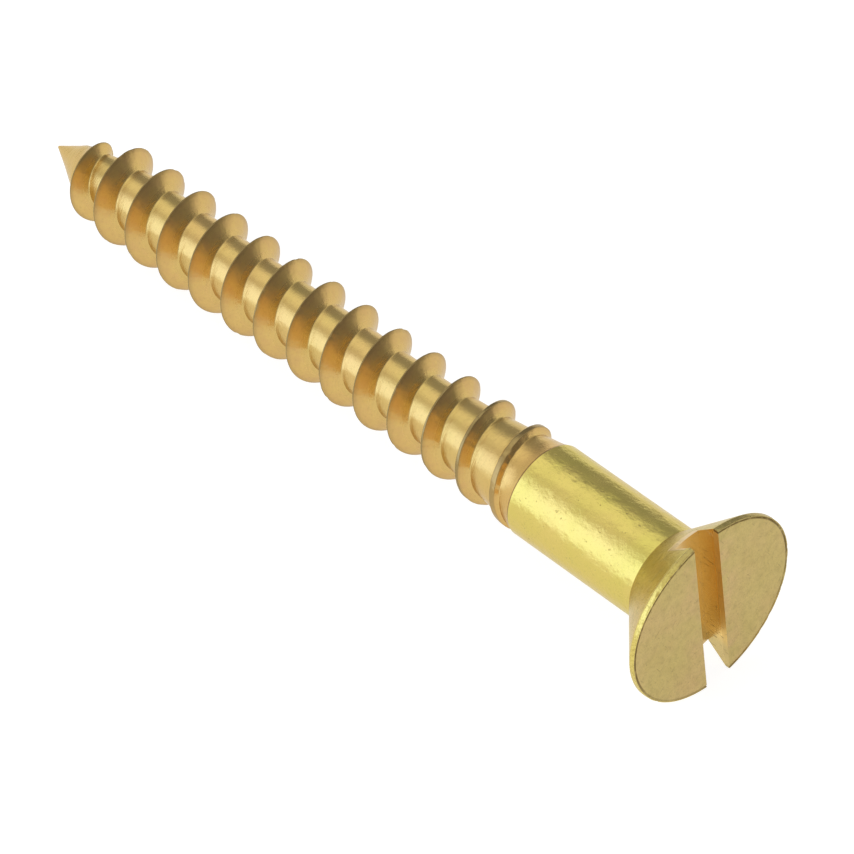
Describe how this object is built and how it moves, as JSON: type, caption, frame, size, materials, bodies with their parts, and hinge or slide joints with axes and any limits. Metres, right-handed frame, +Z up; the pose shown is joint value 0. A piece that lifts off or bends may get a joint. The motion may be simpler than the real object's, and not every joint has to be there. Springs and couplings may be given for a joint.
{
  "type": "wood screw",
  "caption": "Slotted countersunk brass wood screw with a plain shank, a right-hand cut thread that runs out into the shank, and a sharp cone point.",
  "frame": {"origin": "centre of the head's flat face, on the screw's axis", "axes": "+X along the axis from the head to the point, +Z up and along the driver slot, +Y completes a right-handed set"},
  "size_m": [0.0349, 0.0076, 0.0074],
  "materials": {
    "brass_head": "tumbled matte brass, fine speckle",
    "brass_shank": "drawn bright brass, faint dimples",
    "brass_thread": "cut bright brass, fine turning marks"
  },
  "bodies": {
    "root": {"countersunk_head": "brass_head", "plain_shank": "brass_shank", "threaded_shank": "brass_thread", "gimlet_point": "brass_thread"}
  },
  "joints": []
}
